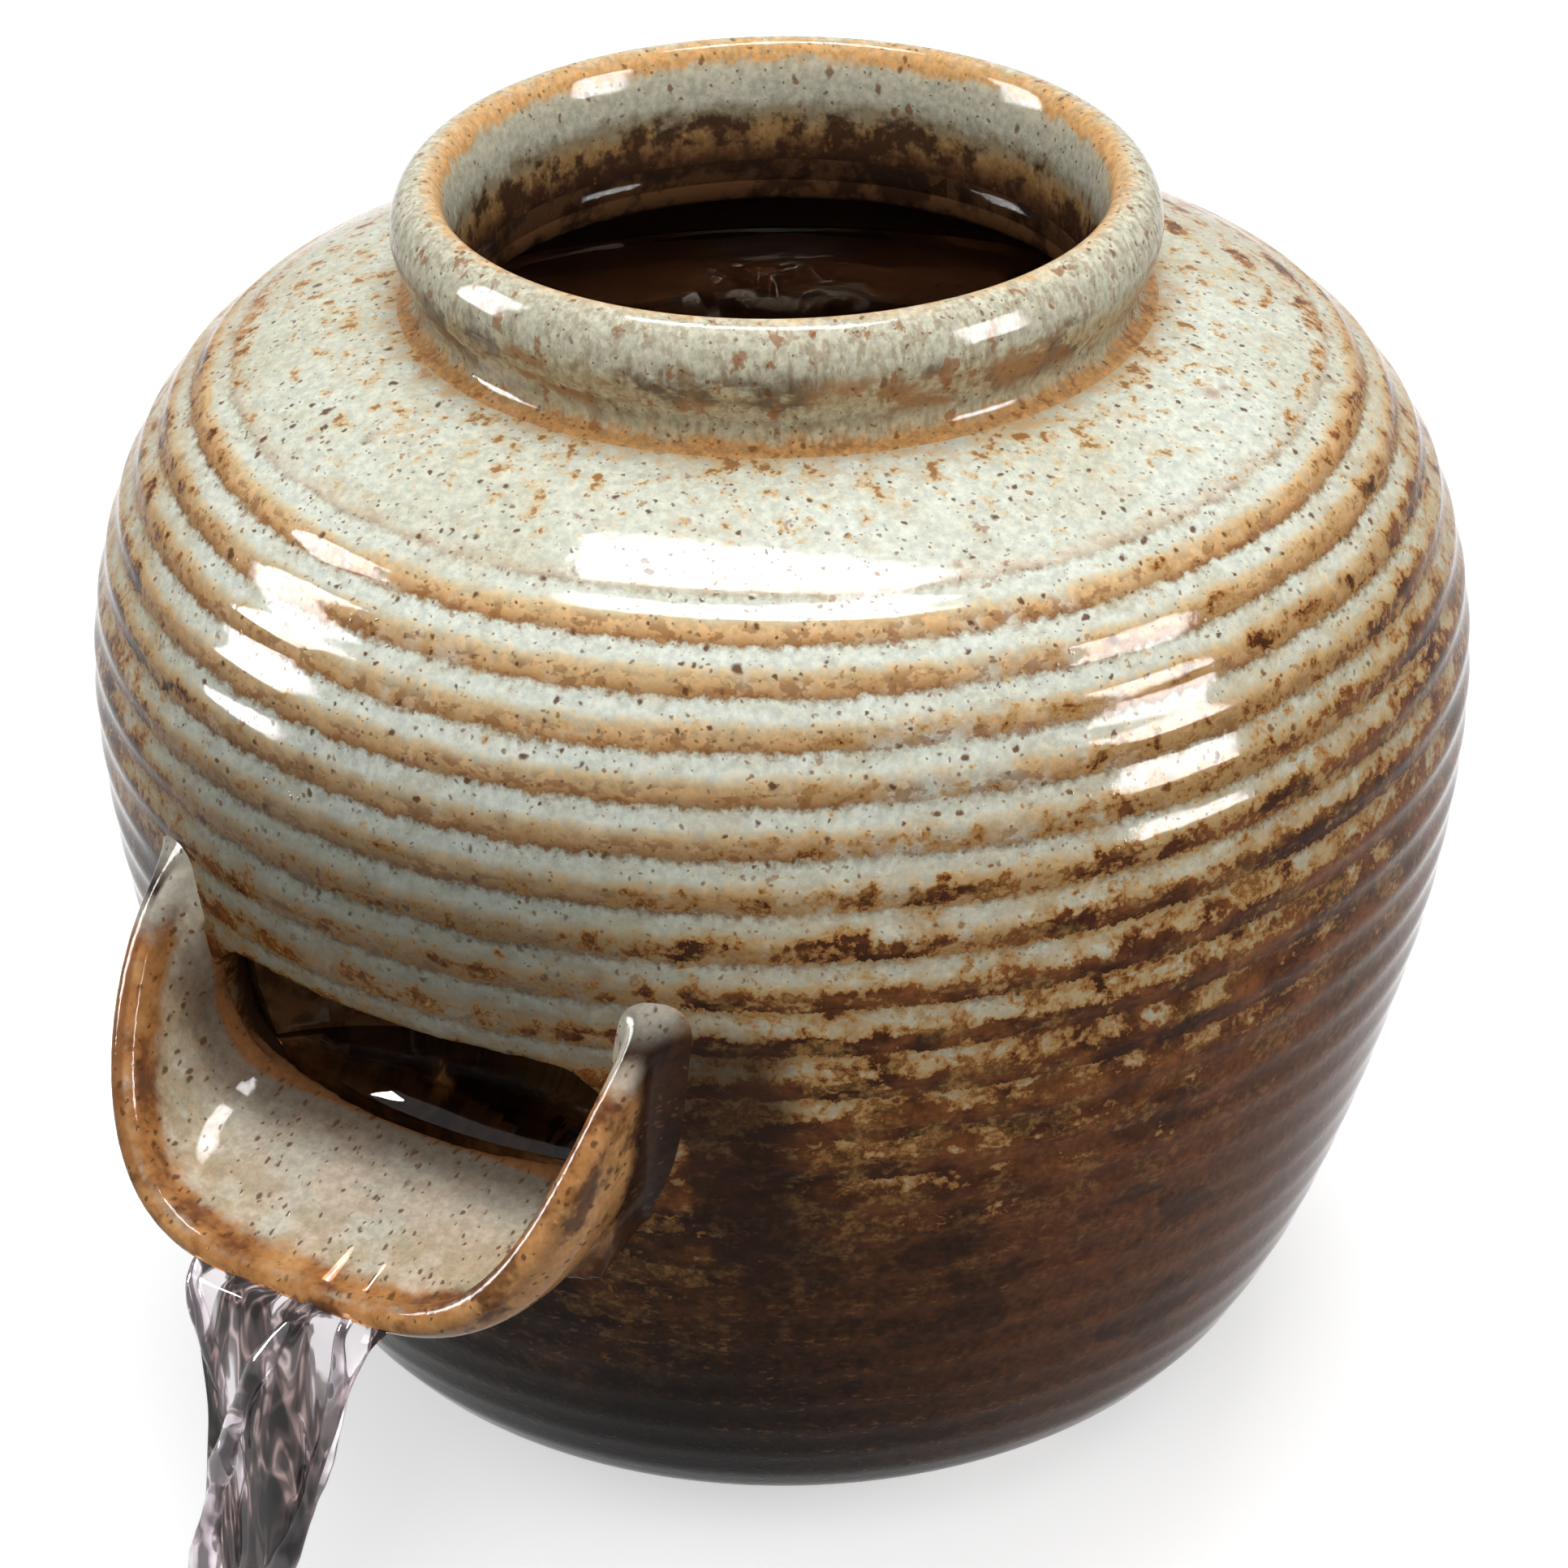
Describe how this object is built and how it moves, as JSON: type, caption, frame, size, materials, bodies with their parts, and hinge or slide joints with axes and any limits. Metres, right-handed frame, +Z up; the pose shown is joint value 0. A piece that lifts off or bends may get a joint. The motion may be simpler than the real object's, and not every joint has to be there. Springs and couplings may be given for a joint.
{
  "type": "ceramic tabletop fountain",
  "caption": "Glazed stoneware tabletop fountain: a ribbed jar with a rolled rim and a pouring scoop on its side, an inner weir, and a pump in its hollow foot.",
  "frame": {"origin": "middle of the footprint of the whole piece, falling water included, on the surface it stands on", "axes": "+Z up, -Y the way the spout points, +X to the right of the spout as seen from in front of it"},
  "size_m": [0.1606, 0.1872, 0.1506],
  "materials": {
    "jar_glaze": "glossy celadon over iron brown, orange on the rib crests",
    "rim_glaze": "glossy celadon, orange edge",
    "spout_glaze": "glossy celadon, orange brown edges",
    "weir_glaze": "glossy iron brown",
    "rubber": "matt black",
    "vinyl": "clear vinyl, slightly clouded",
    "pump_black": "fine matt",
    "pump_grey": "fine matt",
    "sponge": "open black foam",
    "shaft_ceramic": "ground white ceramic",
    "magnet": "moulded ferrite, satin",
    "water": "clear water"
  },
  "bodies": {
    "fountain": {"jar_body": "jar_glaze", "rolled_rim": "rim_glaze", "pouring_spout": "spout_glaze", "weir_wall": "weir_glaze", "floor_grommet": "rubber", "riser_tube": "vinyl", "pump_housing": "pump_black", "pump_chamber_cover": "pump_grey", "chamber_seal": "rubber", "outlet_nozzle": "pump_grey", "rotor_shaft": "shaft_ceramic", "shaft_bush_front": "rubber", "shaft_bush_rear": "rubber", "suction_cup_1": "rubber", "suction_cup_2": "rubber", "suction_cup_3": "rubber", "suction_cup_4": "rubber", "cord_gland": "rubber", "falling_water": "water"},
    "rotor": {"impeller": "pump_grey", "rotor_magnet": "magnet"},
    "flow_shutter": {"flow_dial": "pump_black"},
    "strainer": {"strainer_cover": "pump_black", "filter_sponge": "sponge"}
  },
  "joints": [
    {"name": "impeller_spin", "type": "hinge", "parent": "fountain", "child": "rotor", "pos_m": [0, 0.01339, 0.02], "axis": [0, 1, 0], "continuous": true},
    {"name": "flow_dial_turn", "type": "hinge", "parent": "fountain", "child": "flow_shutter", "pos_m": [0, 0.01339, 0.02], "axis": [0, 1, 0], "range_deg": [0, 45]},
    {"name": "strainer_slide", "type": "slide", "parent": "fountain", "child": "strainer", "axis": [0, -1, 0], "range_m": [0, 0.012]}
  ]
}
